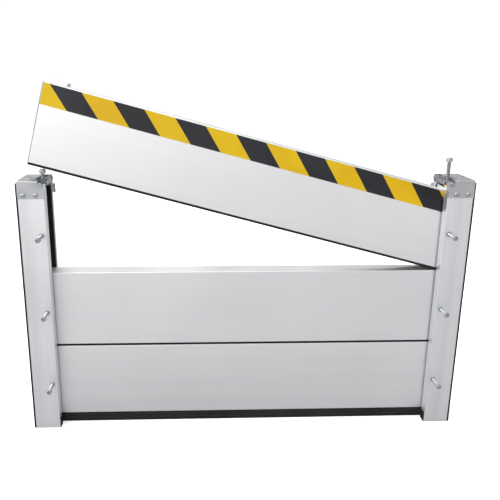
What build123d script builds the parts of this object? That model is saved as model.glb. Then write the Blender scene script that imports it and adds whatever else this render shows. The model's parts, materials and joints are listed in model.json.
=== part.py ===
"""Demountable aluminium flood barrier: two channel posts and three hollow planks.

Frame: X across the opening (0 = middle), Y through the planks (0 = their mid plane,
front is -Y), Z up from the floor.  All sizes are millimetres.
The top plank is shown half fitted: its right end is in the right channel and its
left end rests on the head of the left press bolt.
"""
import os
from math import cos, radians, sin, tan

from build123d import *

os.makedirs("parts", exist_ok=True)

# ---------------------------------------------------------------- driving sizes
opening = 976.0            # clear width between the post lips
post_width = 63.5          # post size along X
post_height = 659.2
front_chamber = 24.0       # depth of the hollow box in front of the channel
rear_chamber = 14.0
web = 6.0                  # solid outer wall of the post
wall = 2.5                 # other walls of the post
plank_length = 1060.0
plank_height = 195.0
plank_depth = 50.0
plank_skin = 2.0
end_cap = 3.0
floor_seal_height = 26.5
joint_seal = 6.0
tilt = 15.0                # slope of the half-fitted top plank, degrees
screw_gap = 6.0            # front gap between channel wall and plank, for the screw pads
rear_gap = 4.0             # rear gap, filled by the rear seal
sheet = 2.5                # thickness of the post cap
cap_drop = 43.0            # height of the cap's front and rear flanges
gasket = 5.0               # thickness of the wall gasket

# ---------------------------------------------------------------- derived places
half = opening / 2
plank_front = -plank_depth / 2
plank_back = plank_depth / 2
channel_front = plank_front - screw_gap
channel_back = plank_back + rear_gap
post_front = channel_front - front_chamber
post_back = channel_back + rear_chamber
channel_mid = (channel_front + channel_back) / 2
cap_top = post_height + sheet
bottom_z = floor_seal_height
middle_z = bottom_z + plank_height + joint_seal
stack_top = middle_z + plank_height
slope_cos = cos(radians(tilt))
slope_sin = sin(radians(tilt))
# lower right corner of the tilted plank's metal: its seal clears the plank below
corner_x = half + 5.5
corner_z = stack_top + joint_seal * slope_cos + 0.4
tilt_corner_x = corner_x + plank_height * slope_sin
tilt_corner_z = corner_z + plank_height * slope_cos

# clamp across each channel: round trunnion, press bolt and foot
clamp_x = half + 7.5
clamp_y = post_front + 31.0
clamp_z = 652.0
trunnion_r = 6.0
slot_r = 6.1
bolt_r = 5.0
bolt_head_r = 8.0
bolt_head = 10.0
bolt_length = 58.0
right_bolt_seat = 702.0    # underside of the right bolt's head
seal_at_head = corner_z - joint_seal * slope_cos + tan(radians(tilt)) * (
    corner_x - joint_seal * slope_sin + clamp_x - bolt_head_r)
left_bolt_seat = seal_at_head - 0.3 - bolt_head

# clamp screws in the front chamber, one per plank and post
screw_x = half + 13.5
screw_z = [126.5, 326.5, 526.5]
screw_r = 4.0
screw_head_r = 6.5
screw_head = 8.0
screw_reach = 34.0         # free shank between post face and screw head
bush_r = 6.5
pad_r = 7.0
pad_thickness = 2.6

# post caps, their screws and the wall anchors
cap_screw_x = [half + 20.5, half + 49.5]
cap_screw_z = 627.5
cap_screw_r = 3.0
anchor_z = [80.0, 330.0, 580.0]
anchor_r = 4.5
seal_top = 636.0
nose_top = 656.0           # hook of the J slot
lug_top = 638.5
notch_root = half + 24     # depth of the rounded notch in the top plate
foot_seal_lip = 1.5        # thin leg of the foot seal beside the opening
groove_depth = 24.0        # how far seals reach into the channel from the lip

SIDES = {"left": -1, "right": 1}


def block(x0, x1, y0, y1, z0, z1, mode=Mode.ADD):
    """A box between two corners, in the part that is being built."""
    with Locations(((x0 + x1) / 2, (y0 + y1) / 2, (z0 + z1) / 2)):
        Box(abs(x1 - x0), abs(y1 - y0), abs(z1 - z0), mode=mode)


def rod(centre, direction, radius, length, mode=Mode.ADD):
    """A cylinder that starts at centre and runs along direction, in the part that is being built."""
    with Locations(Plane(origin=centre, z_dir=direction)):
        Cylinder(radius, length, align=(Align.CENTER, Align.CENTER, Align.MIN), mode=mode)


def save(piece, label):
    """Label the finished piece and write it as one STEP file."""
    piece.part.label = label
    export_step(piece.part, f"parts/{label}.step")


def rectangle(x0, x1, y0, y1, mode=Mode.ADD):
    """A rectangle between two corners, in the sketch that is being built."""
    with Locations(((x0 + x1) / 2, (y0 + y1) / 2)):
        Rectangle(abs(x1 - x0), abs(y1 - y0), mode=mode)


# ---------------------------------------------------------------- posts
def make_post(name, side):
    """Extruded channel post: front and rear chambers joined by a solid web."""
    inner = side * half
    outer = side * (half + post_width)
    with BuildPart() as post:
        with BuildSketch() as section:
            rectangle(inner, outer, post_front, post_back)
            fillet(section.vertices(), 1.2)
            rectangle(inner - side, outer - side * web, channel_front, channel_back, Mode.SUBTRACT)
            cell_inner = inner + side * wall
            cell_outer = outer - side * wall
            rib = inner + side * 30
            cell_front = post_front + wall
            cell_back = channel_front - wall
            rectangle(cell_inner, rib, cell_front, cell_back, Mode.SUBTRACT)
            rectangle(rib + side * wall, cell_outer, cell_front, cell_back, Mode.SUBTRACT)
            rectangle(cell_inner, cell_outer, channel_back + wall, post_back - wall, Mode.SUBTRACT)
        extrude(amount=post_height)
        # corner notches that the trunnion drops through
        notch_z = clamp_z - trunnion_r - 3
        notch_end = side * (clamp_x + trunnion_r + 2)
        for y0, y1 in ((post_front, channel_front), (channel_back, post_back)):
            block(inner - side, notch_end, y0, y1, notch_z, post_height, Mode.SUBTRACT)
        # holes for the screw bushes, the cap screws and the wall anchors
        for z in screw_z:
            rod((side * screw_x, post_front, z), (0, 1, 0), bush_r + 0.05, front_chamber, Mode.SUBTRACT)
        for x in cap_screw_x:
            rod((side * x, post_front, cap_screw_z), (0, 1, 0), cap_screw_r + 0.05, wall, Mode.SUBTRACT)
            rod((side * x, post_back, cap_screw_z), (0, -1, 0), cap_screw_r + 0.05, wall, Mode.SUBTRACT)
        for z in anchor_z:
            rod((outer, channel_mid, z), (-side, 0, 0), anchor_r, web, Mode.SUBTRACT)
    save(post, f"{name}_post")


def make_wall_gasket(name, side):
    """Rubber strip between the post and the building's wall."""
    outer = side * (half + post_width)
    with BuildPart() as strip:
        block(outer, outer + side * gasket, post_front + 1, post_back - 1, 0, post_height - 4)
        top_edges = strip.edges().filter_by(Axis.Y).group_by(Axis.Z)[-1]
        fillet(top_edges.sort_by(Axis.X)[0 if side < 0 else -1], 4)
        for z in anchor_z:
            rod((outer, channel_mid, z), (side, 0, 0), anchor_r, gasket, Mode.SUBTRACT)
    save(strip, f"{name}_wall_gasket")


def make_rear_seal(name, side, open_above):
    """Rubber seal on the rear lip: squeezed behind planks, full size where there is none."""
    squeezed = rear_gap - 0.3
    full = 9.0
    clear_above_stack = 8.0
    x0 = side * (half + 1)
    x1 = side * (half + groove_depth + 2)
    with BuildPart() as seal:
        block(x0, x1, channel_back - squeezed, channel_back, 0, seal_top)
        if open_above:
            block(x0, x1, channel_back - full, channel_back, stack_top + clear_above_stack, seal_top)
            bulge = seal.edges().filter_by(Axis.Z).group_by(Axis.Y)[0]
            fillet(bulge, 3.5)
    save(seal, f"{name}_rear_seal")


def make_foot_seal(name, side):
    """Rubber block that closes the corner between floor, lip and bottom plank."""
    inner = side * half
    with BuildPart() as seal:
        lip = inner - side * foot_seal_lip
        deep = side * (half + groove_depth)
        block(inner, lip, post_front + foot_seal_lip, channel_front, 0, floor_seal_height)
        block(lip, deep, channel_front, plank_front - 0.4, 0, floor_seal_height)
    save(seal, f"{name}_foot_seal")


# ---------------------------------------------------------------- post caps
def front_flange(side):
    """Front flange seen along Y: a J slot, open at the top, holds the trunnion."""
    inner = side * half
    nose = side * (half - 5)
    slot_inner = side * (clamp_x - slot_r)
    slot_outer = side * (clamp_x + slot_r)
    rectangle(inner, side * (half + post_width), cap_top - cap_drop, cap_top)
    rectangle(nose, slot_inner, nose_top - 18, nose_top)
    rectangle(slot_inner, slot_outer, clamp_z, cap_top + 1, Mode.SUBTRACT)
    rectangle(inner - side, slot_inner, nose_top, cap_top + 1, Mode.SUBTRACT)
    with Locations((side * clamp_x, clamp_z)):
        Circle(slot_r, mode=Mode.SUBTRACT)


def rear_flange(side):
    """Rear flange: a round eye for the trunnion's end and a lug below it."""
    inner = side * half
    lug = side * (half - 6)
    rectangle(inner, side * (half + post_width), cap_top - cap_drop, cap_top)
    rectangle(lug, inner + side, lug_top - 23, lug_top)
    with Locations((side * clamp_x, clamp_z)):
        Circle(slot_r + 3)
        Circle(slot_r, mode=Mode.SUBTRACT)


def make_cap(name, side):
    """Bent sheet cap: top plate and two flanges that carry the trunnion."""
    outer = side * (half + post_width)
    plate_inner = side * (clamp_x + slot_r + 1.4)
    front_face = post_front - sheet
    rear_face = post_back + sheet
    with BuildPart() as cap:
        block(plate_inner, outer, front_face, rear_face, post_height, cap_top)
        with BuildSketch(Plane.XY.offset(post_height)) as notch:
            rectangle(plate_inner - side * 20, side * notch_root, channel_front - 2, channel_back + 2)
            fillet(notch.vertices().group_by(Axis.X)[0 if side < 0 else -1], 8)
        extrude(amount=sheet, mode=Mode.SUBTRACT)
        with BuildSketch(Plane.XY.offset(cap_top)):
            with Locations((side * (half + 43), channel_mid - 8)):
                SlotOverall(26, 11, rotation=90)
        extrude(amount=0.8)
        with BuildSketch(Plane.XZ.offset(-post_front)):
            front_flange(side)
        extrude(amount=sheet)
        with BuildSketch(Plane.XZ.offset(-rear_face)):
            rear_flange(side)
        extrude(amount=sheet)
        bends = cap.edges().filter_by(Axis.X).filter_by(
            lambda e: e.length > 40 and abs(e.center().Z - cap_top) < 0.1
            and min(abs(e.center().Y - front_face), abs(e.center().Y - rear_face)) < 0.1)
        fillet(bends, 2)
        for x in cap_screw_x:
            rod((side * x, front_face, cap_screw_z), (0, 1, 0), cap_screw_r + 0.05, sheet, Mode.SUBTRACT)
            rod((side * x, rear_face, cap_screw_z), (0, -1, 0), cap_screw_r + 0.05, sheet, Mode.SUBTRACT)
    save(cap, f"{name}_post_cap")


def make_cap_screws(name, side):
    """Button-head screws with hex sockets, two in each flange of the cap."""
    head_r = 5.8
    head = 3.4
    with BuildPart() as screws:
        for face, inward in ((post_front - sheet, 1), (post_back + sheet, -1)):
            for x in cap_screw_x:
                seat = (side * x, face, cap_screw_z)
                rod(seat, (0, inward, 0), cap_screw_r, 8)
                rod(seat, (0, -inward, 0), head_r, head)
        rims = screws.edges().filter_by(GeomType.CIRCLE)
        rims = [e for e in rims if e.radius > 5 and min(abs(e.center().Y - post_front + sheet + head),
                                                      abs(e.center().Y - post_back - sheet - head)) < 0.1]
        fillet(rims, 2.6)
        for face, inward in ((post_front - sheet - head, 1), (post_back + sheet + head, -1)):
            for x in cap_screw_x:
                with BuildSketch(Plane(origin=(side * x, face, cap_screw_z), z_dir=(0, inward, 0))):
                    RegularPolygon(2.3, 6)
                extrude(amount=2.2, mode=Mode.SUBTRACT)
    save(screws, f"{name}_cap_screws")


def make_bushes(name, side):
    """Threaded bushes pressed through the front chamber, one for each clamp screw."""
    with BuildPart() as bushes:
        for z in screw_z:
            rod((side * screw_x, post_front, z), (0, 1, 0), bush_r, front_chamber)
            rod((side * screw_x, post_front, z), (0, 1, 0), screw_r + 0.05, front_chamber, Mode.SUBTRACT)
    save(bushes, f"{name}_screw_bushes")


for name, side in SIDES.items():
    make_post(name, side)
    make_wall_gasket(name, side)
    make_rear_seal(name, side, open_above=side < 0)
    make_foot_seal(name, side)
    make_cap(name, side)
    make_cap_screws(name, side)
    make_bushes(name, side)


# ---------------------------------------------------------------- planks
def end_plane(x, z, slope):
    """Plane across a plank's right end: local X is its depth, local Y its height."""
    run = (-cos(radians(slope)), 0, sin(radians(slope)))
    return Plane(origin=(x, 0, z), x_dir=(0, -1, 0), z_dir=run)


def cell_heights():
    """Lower edges and height of the three equal hollow cells of a plank."""
    height = (plank_height - 4 * plank_skin) / 3
    return [plank_skin + i * (height + plank_skin) for i in range(3)], height


def make_plank(label, plane):
    """Hollow aluminium extrusion with three cells and softened edges."""
    starts, height = cell_heights()
    cell_front = plank_front + plank_skin
    cell_back = plank_back - plank_skin
    with BuildPart() as plank:
        with BuildSketch(plane.offset(end_cap)) as section:
            rectangle(plank_front, plank_back, 0, plank_height)
            fillet(section.vertices(), 1.2)
            for start in starts:
                rectangle(cell_front, cell_back, start, start + height, Mode.SUBTRACT)
        extrude(amount=plank_length - 2 * end_cap)
    save(plank, label)


def make_end_caps(label, plane):
    """Plastic end plugs: a plate on each end with a boss in every cell."""
    starts, height = cell_heights()
    plug = 12.0
    with BuildPart() as caps:
        for offset, plug_offset in ((0, end_cap), (plank_length - end_cap, plank_length - end_cap - plug)):
            with BuildSketch(plane.offset(offset)) as plate:
                rectangle(plank_front + 0.5, plank_back - 0.5, 0.5, plank_height - 0.5)
                fillet(plate.vertices(), 1.2)
            extrude(amount=end_cap)
            with BuildSketch(plane.offset(plug_offset)):
                for start in starts:
                    rectangle(plank_front + plank_skin + 0.3, plank_back - plank_skin - 0.3,
                              start + 0.3, start + height - 0.3)
            extrude(amount=plug)
    save(caps, label)


def make_strip(label, plane, height):
    """Rubber seal along the underside of a plank, set back a little from its faces."""
    inset = 1.0
    with BuildPart() as strip:
        with BuildSketch(plane.offset(inset)) as section:
            rectangle(plank_front + 1.2, plank_back - 1.2, -height, 0)
            fillet(section.vertices().sort_by(Axis.Z)[:2], 1.5)
        extrude(amount=plank_length - 2 * inset)
    save(strip, label)


closed_x = plank_length / 2
bottom_end = end_plane(closed_x, bottom_z, 0)
middle_end = end_plane(closed_x, middle_z, 0)
top_end = end_plane(corner_x, corner_z, tilt)

for label, plane in (("bottom_plank", bottom_end), ("middle_plank", middle_end), ("top_plank", top_end)):
    make_plank(label, plane)
    make_end_caps(f"{label}_end_caps", plane)

make_strip("floor_seal", bottom_end, floor_seal_height)
make_strip("middle_joint_seal", middle_end, joint_seal)
make_strip("top_joint_seal", top_end, joint_seal)

block_length = 52.0
block_height = 7.0
block_set_back = 4.0
with BuildPart() as press_blocks:
    for offset in (block_set_back, plank_length - block_set_back - block_length):
        with BuildSketch(top_end.offset(offset)) as block_section:
            rectangle(plank_front + 1, plank_back - 1, plank_height, plank_height + block_height)
            fillet(block_section.vertices().sort_by(Axis.Z)[-2:], 1.0)
        extrude(amount=block_length)
save(press_blocks, "press_blocks")

tape_width = 51.0
tape_thickness = 0.4
tape_margin = 2.5
with BuildPart() as tape:
    with BuildSketch(top_end.offset(end_cap)):
        tape_low = plank_height - tape_margin - tape_width
        rectangle(plank_back, plank_back + tape_thickness, tape_low, tape_low + tape_width)
    extrude(amount=plank_length - 2 * end_cap)
save(tape, "hazard_tape")


# ---------------------------------------------------------------- clamps across the channels
def make_trunnion(name, side):
    """Steel bar with round ends that turn in the cap's J slots; the bolt is screwed through it."""
    body_half = 9.0
    end_reach = 2.0
    axis_x = side * clamp_x
    start = post_front - sheet - end_reach
    stop = post_back + sheet + end_reach
    with BuildPart() as bar:
        rod((side * clamp_x, start, clamp_z), (0, 1, 0), trunnion_r, stop - start)
        chamfer(bar.edges().filter_by(GeomType.CIRCLE), 1)
        block(axis_x - body_half, axis_x + body_half, channel_front + 1.5, channel_back - 2.5,
              clamp_z - trunnion_r, clamp_z + trunnion_r)
        rod((side * clamp_x, clamp_y, clamp_z - 10), (0, 0, 1), bolt_r + 0.05, 20, Mode.SUBTRACT)
    save(bar, f"{name}_clamp_bar")


def make_press_bolt(name, side, seat):
    """Socket-head bolt, its tip in the swivel foot."""
    with BuildPart() as bolt:
        rod((side * clamp_x, clamp_y, seat - bolt_length), (0, 0, 1), bolt_r, bolt_length)
        rod((side * clamp_x, clamp_y, seat), (0, 0, 1), bolt_head_r, bolt_head)
        rim = bolt.edges().filter_by(GeomType.CIRCLE).group_by(Axis.Z)[-1]
        chamfer(rim, 0.8)
        with BuildSketch(Plane(origin=(side * clamp_x, clamp_y, seat + bolt_head))):
            RegularPolygon(4.6, 6)
        extrude(amount=-5, mode=Mode.SUBTRACT)
    save(bolt, f"{name}_press_bolt")


def make_press_foot(name, side, seat):
    """Swivel foot under the bolt, with a blind socket for the bolt's tip."""
    foot_r = 6.2
    tip = seat - bolt_length
    socket = 2.0
    with BuildPart() as foot:
        rod((side * clamp_x, clamp_y, tip - 2.5), (0, 0, 1), foot_r, 2.5 + socket - 0.4)
        rod((side * clamp_x, clamp_y, tip - 0.4), (0, 0, 1), bolt_r + 0.08, socket + 1, Mode.SUBTRACT)
        chamfer(foot.edges().filter_by(GeomType.CIRCLE).group_by(Axis.Z)[0], 0.6)
    save(foot, f"{name}_press_foot")


for name, seat in (("left", left_bolt_seat), ("right", right_bolt_seat)):
    make_trunnion(name, SIDES[name])
    make_press_bolt(name, SIDES[name], seat)
    make_press_foot(name, SIDES[name], seat)


# ---------------------------------------------------------------- clamp screws
def make_clamp_screw(label, x, z):
    """Socket-head screw through the bush, with its tip in the pad."""
    head_face = post_front - screw_reach
    tip = pad_rest - 1.2
    with BuildPart() as screw:
        rod((x, head_face, z), (0, 1, 0), screw_r, tip - head_face)
        rod((x, head_face, z), (0, -1, 0), screw_head_r, screw_head)
        rim = screw.edges().filter_by(GeomType.CIRCLE).group_by(Axis.Y)[0]
        chamfer(rim, 0.7)
        with BuildSketch(Plane(origin=(x, head_face - screw_head, z), z_dir=(0, 1, 0))):
            RegularPolygon(3.5, 6)
        extrude(amount=4, mode=Mode.SUBTRACT)
    save(screw, label)


def make_clamp_pad(label, x, z):
    """Round pad that the screw pushes against the plank's face."""
    back = pad_rest - pad_thickness
    with BuildPart() as pad:
        rod((x, back, z), (0, 1, 0), pad_r, pad_thickness)
        rod((x, back, z), (0, 1, 0), screw_r + 0.08, 1.5, Mode.SUBTRACT)
        chamfer(pad.edges().filter_by(GeomType.CIRCLE).group_by(Axis.Y)[-1], 0.5)
    save(pad, label)


pad_rest = plank_front - 1.0
for name, side in SIDES.items():
    for row, z in zip(("bottom", "middle", "top"), screw_z):
        make_clamp_screw(f"{name}_{row}_screw", side * screw_x, z)
        make_clamp_pad(f"{name}_{row}_pad", side * screw_x, z)

print("left bolt seat", round(left_bolt_seat, 3))
print("tilted plank corner", round(tilt_corner_x, 3), round(tilt_corner_z, 3))
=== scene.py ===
"""Demountable flood barrier for a one metre opening: channel posts, clamps and hollow planks."""
import json
from math import cos, pi, radians, sin

import bmesh
import bpy
from mathutils import Matrix, Vector


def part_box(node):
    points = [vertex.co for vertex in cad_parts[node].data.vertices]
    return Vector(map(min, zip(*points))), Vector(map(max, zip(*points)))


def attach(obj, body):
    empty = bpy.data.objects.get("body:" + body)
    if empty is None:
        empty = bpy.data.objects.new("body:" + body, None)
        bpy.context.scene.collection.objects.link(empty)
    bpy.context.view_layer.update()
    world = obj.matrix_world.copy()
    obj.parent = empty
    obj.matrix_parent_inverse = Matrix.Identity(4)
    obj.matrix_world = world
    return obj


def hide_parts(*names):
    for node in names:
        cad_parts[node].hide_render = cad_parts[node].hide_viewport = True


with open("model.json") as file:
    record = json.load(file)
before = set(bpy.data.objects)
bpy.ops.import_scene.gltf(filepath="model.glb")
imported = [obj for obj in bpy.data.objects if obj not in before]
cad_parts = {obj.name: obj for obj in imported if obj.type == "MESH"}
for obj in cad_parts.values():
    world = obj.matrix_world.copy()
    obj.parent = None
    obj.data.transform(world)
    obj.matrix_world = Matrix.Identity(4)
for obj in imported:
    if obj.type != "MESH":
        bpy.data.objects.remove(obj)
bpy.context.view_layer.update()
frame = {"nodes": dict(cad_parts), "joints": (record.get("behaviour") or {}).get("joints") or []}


# ------------------------------------------------------------------ posts
# Two channel posts, extruded in natural aluminium and cut to length.  They are screwed to
# the sides of the opening.  The die leaves fine lines and broad soft bands up the faces.
def make_group(name, inputs, outputs):
    """A shader group with its sockets, and its own input and output nodes."""
    group = bpy.data.node_groups.new(name, "ShaderNodeTree")
    for label, kind, value in inputs:
        socket = group.interface.new_socket(name=label, in_out="INPUT", socket_type=kind)
        socket.default_value = value
    for label, kind in outputs:
        group.interface.new_socket(name=label, in_out="OUTPUT", socket_type=kind)
    return group, group.nodes.new("NodeGroupInput"), group.nodes.new("NodeGroupOutput")


def add_noise(tree, vector, scale, detail):
    """A noise texture on a vector; returns its value."""
    noise = tree.nodes.new("ShaderNodeTexNoise")
    noise.inputs["Scale"].default_value = scale
    noise.inputs["Detail"].default_value = detail
    tree.links.new(vector, noise.inputs["Vector"])
    return noise.outputs["Fac"]


def add_math(tree, operation, first, second):
    """A math node of two values, each a socket or a number."""
    node = tree.nodes.new("ShaderNodeMath")
    node.operation = operation
    for place, value in zip(node.inputs, (first, second)):
        if isinstance(value, (int, float)):
            place.default_value = value
        else:
            tree.links.new(value, place)
    return node.outputs["Value"]


def add_range(tree, value, low, high, new_low, new_high):
    """Map a value from one span onto another, held inside it."""
    node = tree.nodes.new("ShaderNodeMapRange")
    for label, number in zip(("From Min", "From Max", "To Min", "To Max"), (low, high, new_low, new_high)):
        node.inputs[label].default_value = number
    tree.links.new(value, node.inputs["Value"])
    return node.outputs["Result"]


def add_blend(tree, mask, first, second):
    """Mix two colours by a mask; each is a colour tuple or a socket."""
    node = tree.nodes.new("ShaderNodeMix")
    node.data_type = "RGBA"
    tree.links.new(mask, node.inputs["Factor"])
    for place, value in ((node.inputs[6], first), (node.inputs[7], second)):
        if isinstance(value, tuple):
            place.default_value = (*value, 1)
        else:
            tree.links.new(value, place)
    return node.outputs[2]


def make_drawn_grain():
    """Fine lines, broad bands and slow clouds that run along an extrusion."""
    inputs = [("Position", "NodeSocketVector", (0, 0, 0)), ("Stretch", "NodeSocketVector", (1, 1, 1))]
    outputs = [(label, "NodeSocketFloat") for label in ("Lines", "Bands", "Clouds")]
    group, start, end = make_group("drawn grain", inputs, outputs)
    scaled = group.nodes.new("ShaderNodeVectorMath")
    scaled.operation = "MULTIPLY"
    group.links.new(start.outputs["Position"], scaled.inputs[0])
    group.links.new(start.outputs["Stretch"], scaled.inputs[1])
    lines = add_noise(group, scaled.outputs[0], 9.0, 3.0)
    bands = add_noise(group, scaled.outputs[0], 0.6, 2.0)
    clouds = add_noise(group, start.outputs["Position"], 4.0, 2.0)
    for value, label in ((lines, "Lines"), (bands, "Bands"), (clouds, "Clouds")):
        group.links.new(value, end.inputs[label])
    return group


def make_worn_edges():
    """Mask of the outer edges, where handling has worn the surface bright."""
    inputs = [("Radius", "NodeSocketFloat", 0.001), ("Position", "NodeSocketVector", (0, 0, 0))]
    group, start, end = make_group("worn edges", inputs, [("Edge", "NodeSocketFloat")])
    bevel = group.nodes.new("ShaderNodeBevel")
    bevel.samples = 6
    group.links.new(start.outputs["Radius"], bevel.inputs["Radius"])
    surface = group.nodes.new("ShaderNodeNewGeometry")
    turn = group.nodes.new("ShaderNodeVectorMath")
    turn.operation = "DOT_PRODUCT"
    group.links.new(bevel.outputs["Normal"], turn.inputs[0])
    group.links.new(surface.outputs["Normal"], turn.inputs[1])
    sharp = add_range(group, turn.outputs["Value"], 0.995, 0.85, 0.0, 1.0)
    patchy = add_range(group, add_noise(group, start.outputs["Position"], 60.0, 3.0), 0.35, 0.6, 0.25, 1.0)
    group.links.new(add_math(group, "MULTIPLY", sharp, patchy), end.inputs["Edge"])
    return group


def new_material(name):
    """An empty material with its shader and the object coordinates."""
    material = bpy.data.materials.new(name)
    material.use_nodes = True
    tree = material.node_tree
    shader = tree.nodes["Principled BSDF"]
    place = tree.nodes.new("ShaderNodeTexCoord").outputs["Object"]
    return material, tree, shader, place


def use_group(tree, group, **values):
    """Put a group into a material; each value is a socket or a constant."""
    node = tree.nodes.new("ShaderNodeGroup")
    node.node_tree = group
    for label, value in values.items():
        if isinstance(value, bpy.types.NodeSocket):
            tree.links.new(value, node.inputs[label])
        else:
            node.inputs[label].default_value = value
    return node


def add_bump(tree, shader, height, distance, strength):
    """Turn a height into a surface normal on the shader."""
    bump = tree.nodes.new("ShaderNodeBump")
    bump.inputs["Distance"].default_value = distance
    bump.inputs["Strength"].default_value = strength
    tree.links.new(height, bump.inputs["Height"])
    tree.links.new(bump.outputs["Normal"], shader.inputs["Normal"])


drawn_grain = make_drawn_grain()
worn_edges = make_worn_edges()


def make_extruded_aluminium(name, stretch, dull, bright, rough, slope=0.0):
    """Natural anodised aluminium with its grain along the extrusion, worn bright at the edges."""
    material, tree, shader, place = new_material(name)
    turned = tree.nodes.new("ShaderNodeMapping")
    turned.inputs["Rotation"].default_value = (0, -slope, 0)
    tree.links.new(place, turned.inputs["Vector"])
    grain = use_group(tree, drawn_grain, Position=turned.outputs["Vector"], Stretch=stretch)
    edges = use_group(tree, worn_edges, Radius=0.0012, Position=place)
    tone = add_math(tree, "MULTIPLY", grain.outputs["Bands"], 0.7)
    tone = add_math(tree, "ADD", tone, add_math(tree, "MULTIPLY", grain.outputs["Lines"], 0.3))
    tone = add_range(tree, tone, 0.3, 0.7, 0.0, 1.0)
    colour = add_blend(tree, tone, dull, bright)
    worn = add_math(tree, "MULTIPLY", edges.outputs["Edge"], 0.6)
    colour = add_blend(tree, worn, colour, (0.93, 0.94, 0.95))
    tree.links.new(colour, shader.inputs["Base Color"])
    gloss = add_math(tree, "ADD", add_math(tree, "MULTIPLY", grain.outputs["Lines"], 0.14), rough - 0.07)
    gloss = add_math(tree, "ADD", gloss, add_range(tree, grain.outputs["Clouds"], 0.35, 0.65, -0.03, 0.05))
    gloss = add_math(tree, "SUBTRACT", gloss, add_math(tree, "MULTIPLY", edges.outputs["Edge"], 0.12))
    tree.links.new(gloss, shader.inputs["Roughness"])
    shader.inputs["Metallic"].default_value = 0.82
    add_bump(tree, shader, grain.outputs["Lines"], 0.00006, 0.35)
    return material


def dress(node, material):
    """Give a carried-over piece its finish."""
    for place in frame["nodes"][node].material_slots:
        place.material = material


post_metal = make_extruded_aluminium(
    "post aluminium", (46, 46, 0.8), dull=(0.72, 0.73, 0.745), bright=(0.84, 0.85, 0.855), rough=0.35)
for side in ("left", "right"):
    dress(side + "_post", post_metal)


# ------------------------------------------------------------------ wall gaskets
# A strip of black EPDM rubber runs up each post's outer face and is squeezed against the
# wall by the anchors.  It is extruded with long ribs and has a hole for each anchor.
def make_rubber():
    """Black EPDM with a fine bloom, a little greyer along its edges."""
    material, tree, shader, place = new_material("black rubber")
    edges = use_group(tree, worn_edges, Radius=0.0015, Position=place)
    bloom = add_range(tree, add_noise(tree, place, 14.0, 4.0), 0.4, 0.7, 0.0, 1.0)
    pores = add_noise(tree, place, 1500.0, 2.0)
    colour = add_blend(tree, bloom, (0.007, 0.0071, 0.0075), (0.014, 0.0143, 0.015))
    colour = add_blend(tree, edges.outputs["Edge"], colour, (0.035, 0.036, 0.038))
    tree.links.new(colour, shader.inputs["Base Color"])
    gloss = add_math(tree, "ADD", add_math(tree, "MULTIPLY", bloom, 0.14), 0.48)
    gloss = add_math(tree, "ADD", gloss, add_math(tree, "MULTIPLY", pores, 0.1))
    tree.links.new(gloss, shader.inputs["Roughness"])
    shader.inputs["Specular IOR Level"].default_value = 0.25
    add_bump(tree, shader, pores, 0.00008, 0.4)
    return material


def pick(obj, kind, wanted):
    """In edit mode, select only the vertices, edges or faces that are wanted."""
    bpy.ops.mesh.select_mode(type={"verts": "VERT", "edges": "EDGE", "faces": "FACE"}[kind])
    bpy.ops.mesh.select_all(action="DESELECT")
    shape = bmesh.from_edit_mesh(obj.data)
    for item in getattr(shape, kind):
        if wanted(item):
            item.select_set(True)
    bmesh.update_edit_mesh(obj.data)


def add_modifier(obj, kind, **values):
    """Add a modifier to the active piece and apply it."""
    modifier = obj.modifiers.new(kind.title(), kind)
    for label, value in values.items():
        setattr(modifier, label, value)
    bpy.context.view_layer.objects.active = obj
    bpy.ops.object.modifier_apply(modifier=modifier.name)


def finish_piece(obj, name, material, body, slot, *replaced):
    """Name a piece, smooth it, give it its finish and its body."""
    crease = radians(35)
    bpy.ops.object.select_all(action="DESELECT")
    obj.name = name
    obj.data.name = name
    obj.select_set(True)
    bpy.context.view_layer.objects.active = obj
    bpy.ops.object.transform_apply(location=True, rotation=True, scale=True)
    bpy.ops.object.shade_smooth_by_angle(angle=crease)
    obj.data.materials.clear()
    obj.data.materials.append(material)
    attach(obj, body)
    if replaced:
        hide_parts(*replaced)


def add_block(low, high):
    """A box between two corners, alone in the selection, with its size in its mesh."""
    bpy.ops.object.select_all(action="DESELECT")
    bpy.ops.mesh.primitive_cube_add(size=1, location=(low + high) / 2)
    block = bpy.context.object
    block.scale = high - low
    bpy.ops.object.transform_apply(location=True, rotation=True, scale=True)
    return block


def add_ribbed_block(low, high, faces, across, ribs, margin, depth, rounding):
    """A rubber bar; its faces along some directions are parted into channels with ribs between."""
    facing = 0.9  # least cosine at which a face counts as facing a direction
    bar = add_block(low, high)
    bpy.ops.object.mode_set(mode="EDIT")
    for i in range(1, ribs):
        bpy.ops.mesh.select_all(action="SELECT")
        cut = low.lerp(high, i / ribs)
        bpy.ops.mesh.bisect(plane_co=cut, plane_no=across)
    pick(bar, "faces", lambda f: any(f.normal.dot(Vector(d)) > facing for d in faces))
    bpy.ops.mesh.inset(thickness=margin, depth=-depth, use_individual=True)
    bpy.ops.object.mode_set(mode="OBJECT")
    add_modifier(bar, "BEVEL", width=rounding, segments=2, limit_method="ANGLE", angle_limit=radians(50))
    return bar


def cut_out(obj, cutter):
    """Take one solid out of another and discard it."""
    add_modifier(obj, "BOOLEAN", operation="DIFFERENCE", solver="EXACT", object=cutter)
    bpy.data.objects.remove(cutter)


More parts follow.
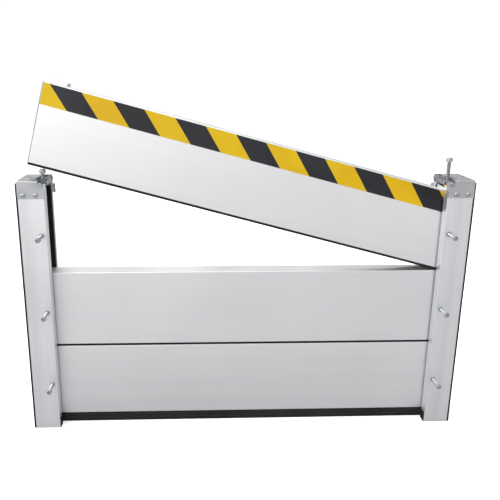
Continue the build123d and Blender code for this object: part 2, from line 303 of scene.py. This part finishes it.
rubber = make_rubber()
anchor_radius = 0.0045
anchor_heights = (0.080, 0.330, 0.580)
anchor_set_back = 0.005  # behind the gasket's middle
drill_length = 0.03
for side, outward in (("left", -1), ("right", 1)):
    low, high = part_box(side + "_wall_gasket")
    gasket = add_ribbed_block(low, high, [(outward, 0, 0)], across=(0, 1, 0), ribs=8,
                              margin=0.0016, depth=0.0012, rounding=0.0005)
    for height in anchor_heights:
        bpy.ops.mesh.primitive_cylinder_add(
            vertices=32, radius=anchor_radius, depth=drill_length, rotation=(0, pi / 2, 0),
            location=((low.x + high.x) / 2, (low.y + high.y) / 2 + anchor_set_back, height))
        cut_out(gasket, bpy.context.object)
    finish_piece(gasket, side + "_ribbed_gasket", rubber, "posts", "seal", side + "_wall_gasket")


# ------------------------------------------------------------------ rear and foot seals
# The planks are pressed back against an EPDM profile pushed into each rear lip.  Its two
# lips stand proud where no plank squeezes them.  A moulded block closes each foot corner.
def join_parts(first, *others):
    """Join pieces into the first."""
    bpy.ops.object.select_all(action="DESELECT")
    for part in (first, *others):
        part.select_set(True)
    bpy.context.view_layer.objects.active = first
    bpy.ops.object.join()
    return first


squeezed = 0.0037
above_stack = 0.008
top_relief = 0.0002
lip_thickness = 0.0015
front_gap = 0.006
stack_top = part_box("middle_plank")[1].z
for side in ("left", "right"):
    low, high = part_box(side + "_rear_seal")
    back = Vector((low.x, high.y - squeezed, low.z))
    strip = add_ribbed_block(back, high, [(0, -1, 0)], across=(1, 0, 0), ribs=3,
                             margin=0.0014, depth=0.0008, rounding=0.0005)
    if high.y - low.y > 2 * squeezed:
        bulge_low = Vector((low.x, low.y, stack_top + above_stack))
        bulge_high = Vector((high.x, high.y - squeezed / 2, high.z - top_relief))
        bulge = add_ribbed_block(bulge_low, bulge_high, [(0, -1, 0)], across=(1, 0, 0), ribs=2,
                                 margin=0.003, depth=0.0022, rounding=0.0018)
        strip = join_parts(strip, bulge)
    finish_piece(strip, side + "_lip_seal", rubber, "posts", "seal", side + "_rear_seal")

    low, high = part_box(side + "_foot_seal")
    toward = 1 if side == "left" else -1
    inner = high.x if side == "left" else low.x
    lip = inner - toward * lip_thickness
    channel_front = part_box("bottom_plank")[0].y - front_gap
    thin_low = Vector((min(lip, inner), low.y, low.z))
    thin_high = Vector((max(lip, inner), channel_front, high.z))
    thin = add_ribbed_block(thin_low, thin_high, [(toward, 0, 0)], across=(0, 0, 1), ribs=3,
                            margin=0.001, depth=0.0004, rounding=0.0003)
    far = low.x if side == "left" else high.x
    thick_low = Vector((min(lip, far), channel_front, low.z))
    thick_high = Vector((max(lip, far), high.y, high.z))
    thick = add_ribbed_block(thick_low, thick_high, [(0, -1, 0)], across=(0, 0, 1), ribs=3,
                             margin=0.001, depth=0.0006, rounding=0.0004)
    finish_piece(join_parts(thin, thick), side + "_corner_seal", rubber, "posts", "seal", side + "_foot_seal")


# ------------------------------------------------------------------ post caps
# Each cap is bent from 2.5 mm stainless sheet and blasted to an even matt grey.  It is
# screwed to the post's front and rear, and its slots carry the clamp's trunnion.
def make_blasted_steel(name, dark, light, rough, metal, painted_highlight_above):
    """Blasted sheet steel: a fine even pebble, faint smears, bright edges, and a painted highlight on the
    faces above a height, which are also made smoother.
    """
    material, tree, shader, place = new_material(name)
    edges = use_group(tree, worn_edges, Radius=0.0009, Position=place)
    pebble = add_noise(tree, place, 900.0, 3.0)
    smear = add_range(tree, add_noise(tree, place, 26.0, 4.0), 0.3, 0.7, 0.0, 1.0)
    speck = add_range(tree, pebble, 0.3, 0.7, 0.0, 0.45)
    tone = add_math(tree, "ADD", add_math(tree, "MULTIPLY", smear, 0.55), speck)
    colour = add_blend(tree, tone, dark, light)
    worn = add_math(tree, "MULTIPLY", edges.outputs["Edge"], 0.8)
    colour = add_blend(tree, worn, colour, (0.75, 0.76, 0.77))
    height = tree.nodes.new("ShaderNodeSeparateXYZ")
    tree.links.new(place, height.inputs["Vector"])
    # Painted highlight: the faces above the given height, the cap's top, are painted lighter as if lit from
    # above, and are also made smoother.
    smoother_painted_lit_top = add_math(tree, "GREATER_THAN", height.outputs["Z"], painted_highlight_above)
    colour = add_blend(tree, add_math(tree, "MULTIPLY", smoother_painted_lit_top, 0.8), colour, (0.80, 0.81, 0.82))
    tree.links.new(colour, shader.inputs["Base Color"])
    gloss = add_math(tree, "ADD", add_math(tree, "MULTIPLY", smear, 0.1), rough - 0.05)
    gloss = add_math(tree, "SUBTRACT", gloss, add_math(tree, "MULTIPLY", smoother_painted_lit_top, 0.12))
    gloss = add_math(tree, "SUBTRACT", gloss, add_math(tree, "MULTIPLY", edges.outputs["Edge"], 0.15))
    tree.links.new(gloss, shader.inputs["Roughness"])
    shader.inputs["Metallic"].default_value = metal
    add_bump(tree, shader, pebble, 0.00012, 0.5)
    return material


# The cap's faces within this depth of its top carry the painted highlight.
emboss_depth = 0.0004
embossed_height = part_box("left_post_cap")[1].z - emboss_depth
cap_steel = make_blasted_steel("blasted cap steel", (0.37, 0.38, 0.39), (0.54, 0.55, 0.56),
                               rough=0.42, metal=0.85, painted_highlight_above=embossed_height)
for side in ("left", "right"):
    dress(side + "_post_cap", cap_steel)


# ------------------------------------------------------------------ cap screws and bushes
# Button-head screws hold the caps.  Threaded steel bushes are pressed through the front
# chambers for the clamp screws.  The screws are zinc plated bright, the bushes duller.
def make_zinc(name, tint, rough):
    """Zinc plate: smooth, with fine scuffs and a dull bloom in places."""
    material, tree, shader, place = new_material(name)
    bloom = add_range(tree, add_noise(tree, place, 220.0, 3.0), 0.35, 0.7, 0.0, 1.0)
    scuff = add_noise(tree, place, 2600.0, 2.0)
    colour = add_blend(tree, bloom, tint, tuple(0.82 * part for part in tint))
    tree.links.new(colour, shader.inputs["Base Color"])
    gloss = add_math(tree, "ADD", add_math(tree, "MULTIPLY", bloom, 0.12), rough)
    gloss = add_math(tree, "ADD", gloss, add_math(tree, "MULTIPLY", scuff, 0.06))
    tree.links.new(gloss, shader.inputs["Roughness"])
    shader.inputs["Metallic"].default_value = 1.0
    add_bump(tree, shader, scuff, 0.00003, 0.3)
    return material


bright_zinc = make_zinc("bright zinc plate", (0.50, 0.51, 0.52), rough=0.12)
bar_zinc = make_zinc("dull zinc plate", (0.42, 0.43, 0.44), rough=0.24)
for side in ("left", "right"):
    dress(side + "_cap_screws", bright_zinc)
    dress(side + "_screw_bushes", bar_zinc)


# ------------------------------------------------------------------ planks
# Hollow aluminium planks with three cells, anodised to a pale satin.  Two lie in the
# channels, and the third slopes from the right channel up to the left clamp's bolt.
plank_slope = radians(15)
long_stretch = (0.8, 40, 40)
satin = {"dull": (0.77, 0.775, 0.785), "bright": (0.81, 0.815, 0.82), "rough": 0.42}
plank_metal = make_extruded_aluminium("plank aluminium", long_stretch, **satin)
sloped_metal = make_extruded_aluminium("sloped plank aluminium", long_stretch, **satin, slope=plank_slope)
for plank, metal in (("bottom", plank_metal), ("middle", plank_metal), ("top", sloped_metal)):
    dress(plank + "_plank", metal)
dress("press_blocks", sloped_metal)


# ------------------------------------------------------------------ plank end plugs
# Grey polypropylene plugs close the planks' ends.  They are moulded with a fine spark
# texture and pushed into the cells.
def make_plug_plastic():
    """Grey moulded plastic with a spark-eroded texture and pale scuffed edges."""
    material, tree, shader, place = new_material("grey plug plastic")
    edges = use_group(tree, worn_edges, Radius=0.0010, Position=place)
    spark = add_noise(tree, place, 1100.0, 4.0)
    flow = add_range(tree, add_noise(tree, place, 18.0, 3.0), 0.35, 0.65, 0.0, 1.0)
    colour = add_blend(tree, flow, (0.33, 0.34, 0.35), (0.40, 0.41, 0.42))
    worn = add_math(tree, "MULTIPLY", edges.outputs["Edge"], 0.6)
    colour = add_blend(tree, worn, colour, (0.6, 0.61, 0.62))
    tree.links.new(colour, shader.inputs["Base Color"])
    tree.links.new(add_range(tree, spark, 0.3, 0.7, 0.46, 0.62), shader.inputs["Roughness"])
    add_bump(tree, shader, spark, 0.0001, 0.4)
    return material


plug_plastic = make_plug_plastic()
for plank in ("bottom", "middle", "top"):
    dress(plank + "_plank_end_caps", plug_plastic)


# ------------------------------------------------------------------ floor and joint seals
# EPDM profiles are slid into the undersides of the planks.  The bottom one is deep enough
# to follow an uneven floor, and the two thin ones close the joints between planks.
low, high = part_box("floor_seal")
floor_strip = add_ribbed_block(low, high, [(0, -1, 0), (0, 1, 0)], across=(0, 0, 1), ribs=3,
                               margin=0.0012, depth=0.0010, rounding=0.0008)
finish_piece(floor_strip, "floor_profile", rubber, "bottom_plank", "seal", "floor_seal")

low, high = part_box("middle_joint_seal")
joint_strip = add_ribbed_block(low, high, [(0, -1, 0), (0, 1, 0)], across=(0, 0, 1), ribs=1,
                               margin=0.0014, depth=0.0008, rounding=0.0006)
finish_piece(joint_strip, "middle_joint_profile", rubber, "middle_plank", "seal", "middle_joint_seal")

# the sloped plank's strip is shaped level, then turned about the plank's lower right corner
pivot = Vector(next(j["pos_m"] for j in frame["joints"] if j["name"] == "top_plank_tilt"))
plank_height = 0.195
corner = pivot - plank_height * Vector((sin(plank_slope), 0, cos(plank_slope)))
seal_length = high.x - low.x
end_gap = 0.001
level_high = Vector((-end_gap, high.y, 0))
level_low = Vector((-end_gap - seal_length, low.y, low.z - high.z))
top_strip = add_ribbed_block(level_low, level_high, [(0, -1, 0), (0, 1, 0)], across=(0, 0, 1), ribs=1,
                             margin=0.0014, depth=0.0008, rounding=0.0006)
top_strip.data.transform(Matrix.Translation(corner) @ Matrix.Rotation(plank_slope, 4, "Y"))
finish_piece(top_strip, "top_joint_profile", rubber, "top_plank", "seal", "top_joint_seal")


# ------------------------------------------------------------------ hazard tape
# Glossy vinyl tape with slanting yellow and black bands, stuck along the top of the
# half-fitted plank's face.  It was laid by hand, so the film is not quite flat.
def make_hazard_tape():
    """Slanting bands across the tape's length, under a clear glossy film."""
    band_pair = 0.150
    first_black = 0.017
    length = 1.060
    inset = 0.0025
    tape_top = plank_height - inset
    material, tree, shader, place = new_material("hazard tape")
    level = tree.nodes.new("ShaderNodeMapping")
    level.vector_type = "TEXTURE"
    level.inputs["Location"].default_value = corner
    level.inputs["Rotation"].default_value = (0, plank_slope, 0)
    tree.links.new(place, level.inputs["Vector"])
    parts = tree.nodes.new("ShaderNodeSeparateXYZ")
    tree.links.new(level.outputs["Vector"], parts.inputs["Vector"])
    along = add_math(tree, "ADD", parts.outputs["X"], length - first_black - tape_top)
    slanted = add_math(tree, "ADD", along, parts.outputs["Z"])
    ripple = add_math(tree, "MULTIPLY", add_noise(tree, place, 90.0, 2.0), 0.0008)
    wavy = add_math(tree, "ADD", slanted, ripple)
    phase = add_math(tree, "FRACT", add_math(tree, "DIVIDE", wavy, band_pair), 0)
    yellow = add_range(tree, phase, 0.498, 0.502, 0.0, 1.0)
    fade = add_range(tree, add_noise(tree, place, 7.0, 3.0), 0.35, 0.65, 0.0, 1.0)
    warm = add_blend(tree, fade, (0.62, 0.37, 0.003), (0.66, 0.46, 0.004))
    black = add_blend(tree, fade, (0.014, 0.014, 0.017), (0.024, 0.024, 0.029))
    tree.links.new(add_blend(tree, yellow, black, warm), shader.inputs["Base Color"])
    film = add_noise(tree, place, 35.0, 3.0)
    tree.links.new(add_range(tree, film, 0.3, 0.7, 0.20, 0.34), shader.inputs["Roughness"])
    shader.inputs["Specular IOR Level"].default_value = 0.2
    shader.inputs["Coat Weight"].default_value = 0.15
    shader.inputs["Coat Roughness"].default_value = 0.08
    add_bump(tree, shader, film, 0.0006, 0.25)
    return material


dress("hazard_tape", make_hazard_tape())


# ------------------------------------------------------------------ clamp bars, feet and pads
# A turned steel trunnion with a flat middle, zinc plated dull, lies across each channel.
# The press bolts' swivel feet and the clamp screws' round pads are turned from brass.
def make_turned_brass():
    """Turned brass with fine tool marks and a slight tarnish."""
    material, tree, shader, place = new_material("turned brass")
    tarnish = add_range(tree, add_noise(tree, place, 120.0, 4.0), 0.4, 0.65, 0.0, 1.0)
    colour = add_blend(tree, tarnish, (0.70, 0.53, 0.24), (0.46, 0.33, 0.15))
    tree.links.new(colour, shader.inputs["Base Color"])
    marks = add_noise(tree, place, 2000.0, 1.0)
    gloss = add_math(tree, "ADD", add_math(tree, "MULTIPLY", tarnish, 0.15), 0.24)
    tree.links.new(gloss, shader.inputs["Roughness"])
    shader.inputs["Metallic"].default_value = 1.0
    add_bump(tree, shader, marks, 0.00004, 0.4)
    return material


brass = make_turned_brass()
for side in ("left", "right"):
    dress(side + "_clamp_bar", bar_zinc)
    dress(side + "_press_foot", brass)
    for row in ("bottom", "middle", "top"):
        dress(f"{side}_{row}_pad", brass)


# ------------------------------------------------------------------ socket-head screws
# M8 clamp screws push the planks back, and M10 press bolts push the top plank down.  Each
# is rolled from steel with a knurled head and a hexagon socket, and zinc plated bright.
def add_thread(radius, pitch, length):
    """A rolled thread below the origin: a helical ridge on a core."""
    depth = 0.55 * pitch
    sunk = 0.0002  # the ridge's foot lies this far inside the core
    bpy.ops.object.select_all(action="DESELECT")
    bpy.ops.mesh.primitive_circle_add(vertices=3, radius=pitch / 2)
    ridge = bpy.context.object
    corners = ((radius - depth - sunk, 0), (radius, 0.45), (radius - depth - sunk, 0.9))
    for vertex, (out, up) in zip(ridge.data.vertices, corners):
        vertex.co = (out, 0, up * pitch - length)
    turns = int(length / pitch) - 1
    add_modifier(ridge, "SCREW", axis="Z", angle=2 * pi, screw_offset=pitch, iterations=turns,
                 steps=20, render_steps=20, use_merge_vertices=False, use_smooth_shade=False)
    bpy.ops.object.mode_set(mode="EDIT")
    bpy.ops.mesh.select_all(action="SELECT")
    bpy.ops.mesh.remove_doubles(threshold=1e-6)
    bpy.ops.mesh.select_all(action="SELECT")
    bpy.ops.mesh.fill_holes(sides=3)
    bpy.ops.mesh.select_all(action="SELECT")
    bpy.ops.mesh.normals_make_consistent(inside=False)
    bpy.ops.object.mode_set(mode="OBJECT")
    bpy.ops.mesh.primitive_cylinder_add(vertices=40, radius=radius - depth, depth=length,
                                        location=(0, 0, -length / 2))
    core = bpy.context.object
    add_modifier(core, "BEVEL", width=depth, segments=1, limit_method="ANGLE")
    return join_parts(core, ridge)


def add_socket_head(radius, height, key):
    """A knurled cylinder head above the origin, with chamfers and a hexagon socket."""
    collar = 0.16 * height
    knurls = 30
    rim = 0.04 * radius
    chamfer = (0.93, 0.93, 1)
    groove = (0.955, 0.955, 1)
    bpy.ops.object.select_all(action="DESELECT")
    bpy.ops.mesh.primitive_cylinder_add(vertices=2 * knurls, radius=radius, depth=height - 2 * collar,
                                        location=(0, 0, height / 2))
    head = bpy.context.object
    bpy.ops.object.transform_apply(location=True, rotation=True, scale=True)
    bpy.ops.object.mode_set(mode="EDIT")
    for direction in (1, -1):
        pick(head, "faces", lambda f: f.normal.z * direction > 0.9)
        bpy.ops.mesh.inset(thickness=rim)
        for share in (0.35, 0.65):
            step = (0, 0, direction * share * collar)
            bpy.ops.mesh.extrude_region_move(TRANSFORM_OT_translate={"value": step})
        bpy.ops.transform.resize(value=chamfer, center_override=(0, 0, 0))
    valley = pi / knurls
    pick(head, "verts", lambda v: v.co.xy.length > 0.98 * radius
         and round(Vector((1, 0)).angle_signed(v.co.xy) / valley) % 2 == 0)
    bpy.ops.transform.resize(value=groove, center_override=(0, 0, 0))
    bpy.ops.object.mode_set(mode="OBJECT")
    bpy.ops.mesh.primitive_cylinder_add(vertices=6, radius=key, depth=height, location=(0, 0, height))
    cut_out(head, bpy.context.object)
    return head


def make_socket_screw(radius, pitch, length, head_radius, head, key):
    """Head and thread in one piece, standing on its seat at the origin."""
    return join_parts(add_socket_head(head_radius, head, key), add_thread(radius, pitch, length))


def place_copy(template, where):
    """A copy of a piece with its own mesh, moved into its place."""
    copy = template.copy()
    copy.data = template.data.copy()
    bpy.context.scene.collection.objects.link(copy)
    copy.data.transform(where)
    return copy


clamp_head = 0.008
low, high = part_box("left_bottom_screw")
clamp_screw = make_socket_screw(radius=0.004, pitch=0.00125, length=high.y - low.y - clamp_head,
                                head_radius=0.0065, head=clamp_head, key=0.0035)
for side in ("left", "right"):
    for row in ("bottom", "middle", "top"):
        name = f"{side}_{row}_screw"
        low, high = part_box(name)
        seat = Vector(((low.x + high.x) / 2, low.y + clamp_head, (low.z + high.z) / 2))
        place = Matrix.Translation(seat) @ Matrix.Rotation(pi / 2, 4, "X")
        screw = place_copy(clamp_screw, place)
        finish_piece(screw, f"{side}_{row}_clamp_screw", bright_zinc, name, "fastener", name)
bpy.data.objects.remove(clamp_screw)

press_head = 0.010
low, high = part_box("left_press_bolt")
press_bolt = make_socket_screw(radius=0.005, pitch=0.0015, length=high.z - low.z - press_head,
                               head_radius=0.008, head=press_head, key=0.0046)
for side in ("left", "right"):
    name = side + "_press_bolt"
    low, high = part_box(name)
    seat = Vector(((low.x + high.x) / 2, (low.y + high.y) / 2, high.z - press_head))
    bolt = place_copy(press_bolt, Matrix.Translation(seat))
    finish_piece(bolt, side + "_socket_bolt", bright_zinc, name, "fastener", name)
bpy.data.objects.remove(press_bolt)


# ------------------------------------------------------------------ floor, light and camera
# A plain white sweep under soft boxes: a large one high on the left, a weaker one on the
# right, and one over the floor behind.  The camera stands in front, a little to the left.
def make_floor():
    """Smooth pale floor; the metal sees it as the grey card that a studio lays in front."""
    bpy.ops.object.select_all(action="DESELECT")
    bpy.ops.mesh.primitive_plane_add(size=12, location=(0, 2, -0.0002))
    floor = bpy.context.object
    floor.name = "studio_floor"
    material, tree, shader, place = new_material("pale floor")
    shade = add_blend(tree, add_noise(tree, place, 3.0, 2.0), (0.91, 0.91, 0.91), (0.93, 0.93, 0.93))
    tree.links.new(shade, shader.inputs["Base Color"])
    shader.inputs["Roughness"].default_value = 0.9
    shader.inputs["Emission Color"].default_value = (1, 1, 1, 1)
    shader.inputs["Emission Strength"].default_value = 0.45
    grey_card = tree.nodes.new("ShaderNodeBsdfDiffuse")
    grey_card.inputs["Color"].default_value = (0.40, 0.40, 0.41, 1)
    rays = tree.nodes.new("ShaderNodeLightPath")
    choice = tree.nodes.new("ShaderNodeMixShader")
    tree.links.new(rays.outputs["Is Camera Ray"], choice.inputs["Fac"])
    tree.links.new(grey_card.outputs["BSDF"], choice.inputs[1])
    tree.links.new(shader.outputs["BSDF"], choice.inputs[2])
    tree.links.new(choice.outputs["Shader"], tree.nodes["Material Output"].inputs["Surface"])
    floor.data.materials.append(material)


def add_softbox(name, place, aim, width, height, power):
    """A rectangular lamp turned towards a point."""
    lamp = bpy.data.lights.new(name, "AREA")
    lamp.shape = "RECTANGLE"
    lamp.size = width
    lamp.size_y = height
    lamp.energy = power
    holder = bpy.data.objects.new(name, lamp)
    bpy.context.scene.collection.objects.link(holder)
    holder.location = place
    holder.rotation_euler = (Vector(aim) - Vector(place)).to_track_quat("-Z", "Y").to_euler()


def make_world():
    """White to the lens; to the metal, a studio brighter to the left, with a dark far end."""
    world = bpy.data.worlds.new("studio")
    bpy.context.scene.world = world
    world.use_nodes = True
    tree = world.node_tree
    for node in list(tree.nodes):
        tree.nodes.remove(node)
    direction = tree.nodes.new("ShaderNodeTexCoord").outputs["Generated"]
    parts = tree.nodes.new("ShaderNodeSeparateXYZ")
    tree.links.new(direction, parts.inputs["Vector"])
    left = add_range(tree, parts.outputs["X"], -0.7, 0.7, 3.05, 0.66)
    above = add_range(tree, parts.outputs["Z"], -0.3, 0.9, 0.72, 1.0)
    ahead = add_range(tree, parts.outputs["Y"], 0.60, 0.90, 1.0, 0.07)
    studio = tree.nodes.new("ShaderNodeBackground")
    level = add_math(tree, "MULTIPLY", add_math(tree, "MULTIPLY", left, above), ahead)
    tree.links.new(level, studio.inputs["Strength"])
    seen = tree.nodes.new("ShaderNodeBackground")
    seen.inputs["Strength"].default_value = 1.3
    rays = tree.nodes.new("ShaderNodeLightPath")
    choice = tree.nodes.new("ShaderNodeMixShader")
    tree.links.new(rays.outputs["Is Camera Ray"], choice.inputs["Fac"])
    tree.links.new(studio.outputs["Background"], choice.inputs[1])
    tree.links.new(seen.outputs["Background"], choice.inputs[2])
    out = tree.nodes.new("ShaderNodeOutputWorld")
    tree.links.new(choice.outputs["Shader"], out.inputs["Surface"])


make_floor()
make_world()
add_softbox("key", (-1.6, -1.9, 2.0), (0, 0, 0.4), 2.0, 2.0, 14)
add_softbox("fill", (1.9, -1.4, 1.2), (0.2, 0, 0.3), 0.9, 0.9, 4)
add_softbox("sweep", (0, 1.8, 2.6), (0, 1.0, 0), 3.0, 1.6, 34)

picture_size = 500
focal_length = 623.0
centre_x, centre_y = 216.3, 241.8
stand = (-0.1342, -1.5265, 0.9279)
lens = bpy.data.cameras.new("camera")
lens.sensor_width = 36
lens.lens = focal_length / picture_size * lens.sensor_width
lens.shift_x = (picture_size / 2 - centre_x) / picture_size
lens.shift_y = (centre_y - picture_size / 2) / picture_size
camera = bpy.data.objects.new("camera", lens)
bpy.context.scene.collection.objects.link(camera)
pan = Matrix.Rotation(radians(-2.218), 4, "Z")
pitch_down = Matrix.Rotation(radians(-15.835), 4, "X")
roll = Matrix.Rotation(radians(-0.294), 4, "Y")
level = Matrix.Rotation(radians(90), 4, "X")
camera.matrix_world = Matrix.Translation(stand) @ pan @ pitch_down @ roll @ level
bpy.context.scene.camera = camera
bpy.context.scene.view_settings.view_transform = "Standard"
